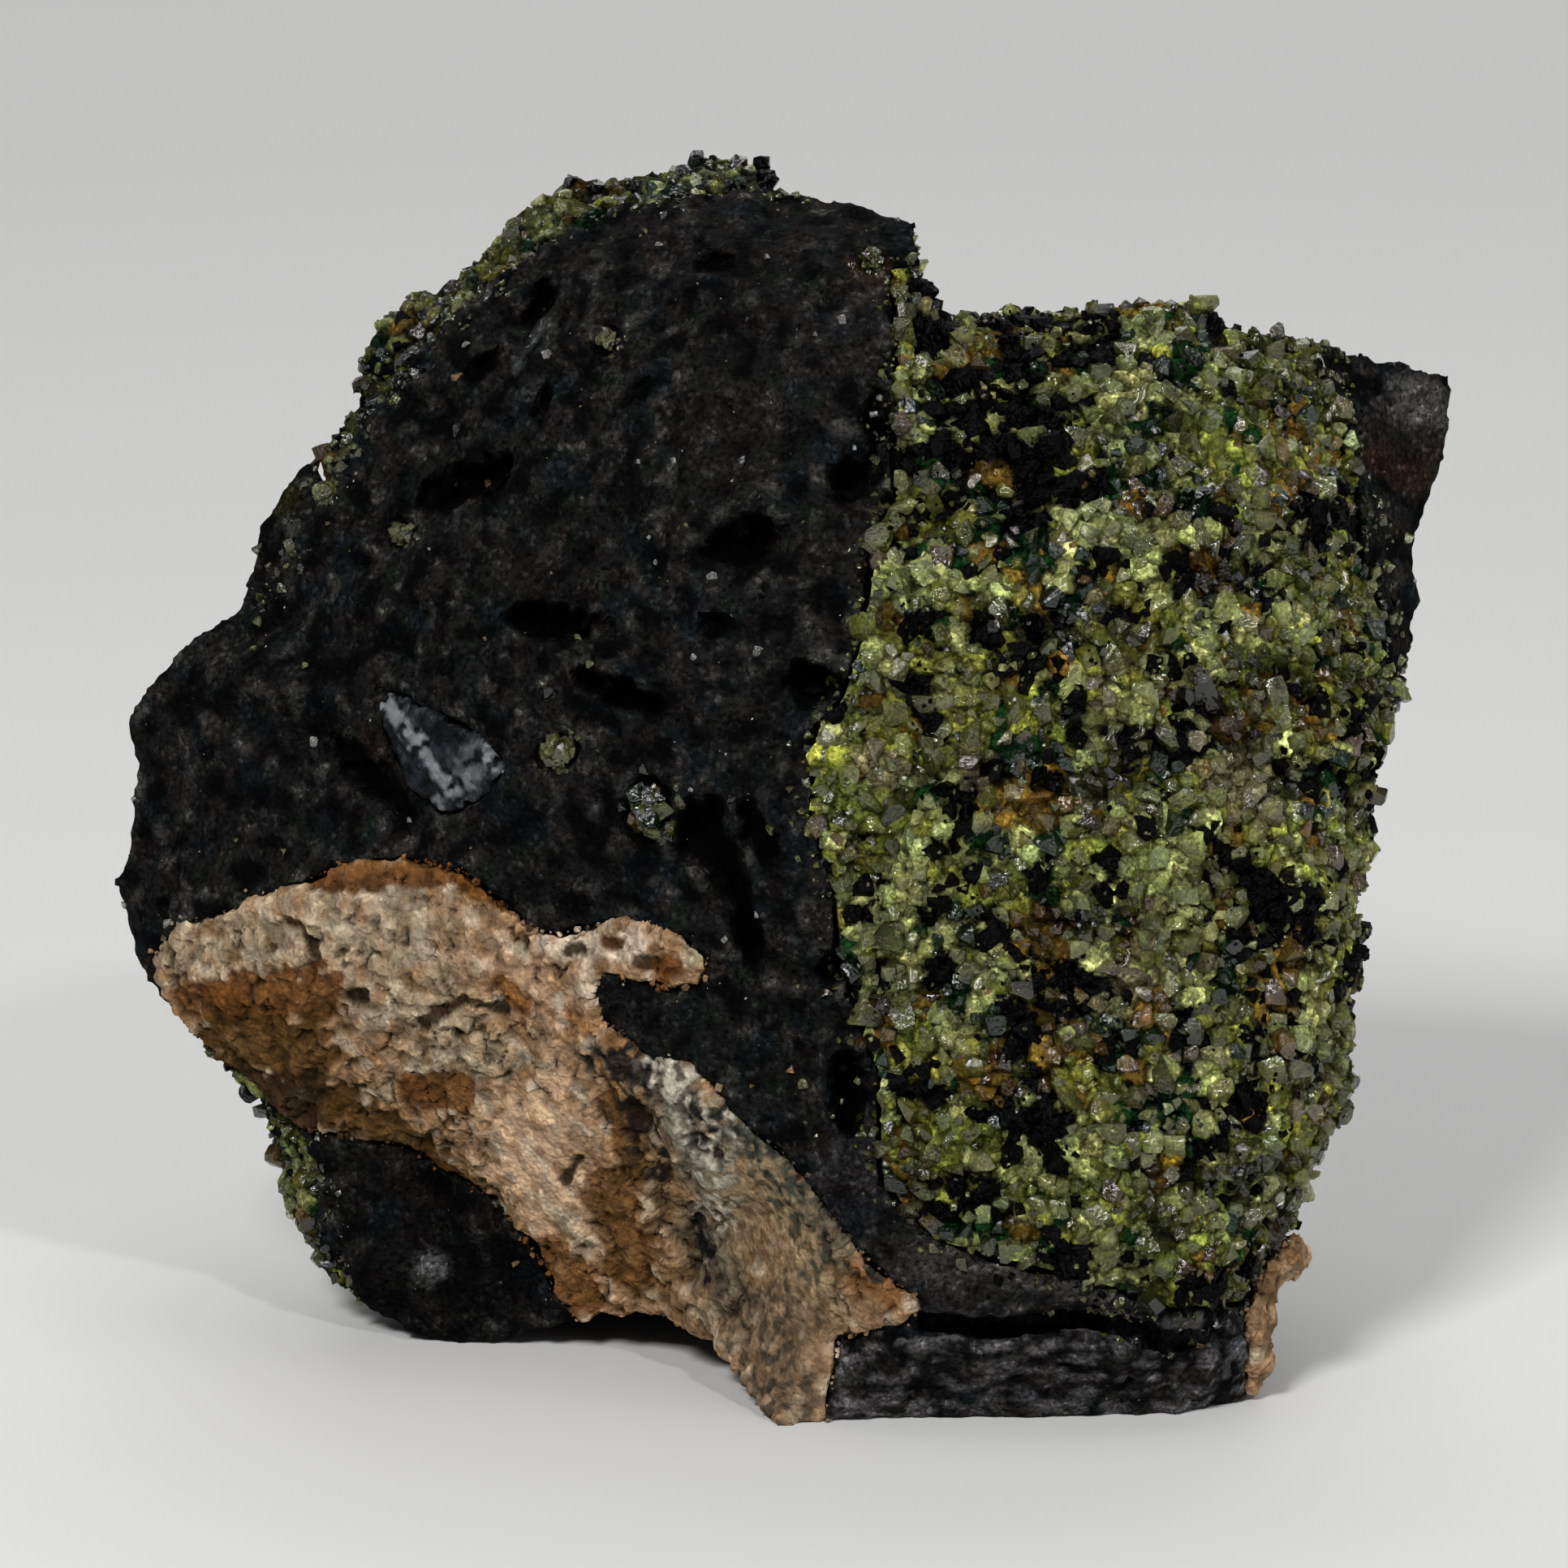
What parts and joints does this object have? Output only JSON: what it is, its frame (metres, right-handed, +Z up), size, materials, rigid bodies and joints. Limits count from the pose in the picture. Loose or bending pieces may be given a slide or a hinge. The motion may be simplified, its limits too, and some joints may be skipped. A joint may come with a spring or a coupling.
{
  "type": "peridot nodule in basalt",
  "caption": "Hand specimen of dark vesicular basalt holding a coarse granular peridot nodule on its front and another behind, with a pale lime crust and a flat underside to stand on.",
  "frame": {"origin": "on the flat underside, below the middle of the stone's bounding box", "axes": "+Z up; the face with the large nodule looks along -Y; +X to the viewer's right"},
  "size_m": [0.0862, 0.057, 0.0744],
  "materials": {
    "basalt": "rough, dark purple-grey, finely speckled, dull",
    "peridot": "coarse glassy grains, yellow-green, see-through at the edges, rust-stained between them",
    "lime_crust": "matt, powdery, cream to ochre",
    "feldspar": "pale blue-grey, cleaved, slightly glassy"
  },
  "bodies": {
    "root": {"basalt": "basalt", "peridot_front": "peridot", "peridot_back": "peridot", "lime_crust": "lime_crust", "edge_crust": "lime_crust", "feldspar": "feldspar", "peridot_grain_1": "peridot", "peridot_grain_2": "peridot", "peridot_grain_3": "peridot", "peridot_grain_4": "peridot", "peridot_grain_5": "peridot", "peridot_grain_6": "peridot"}
  },
  "joints": []
}
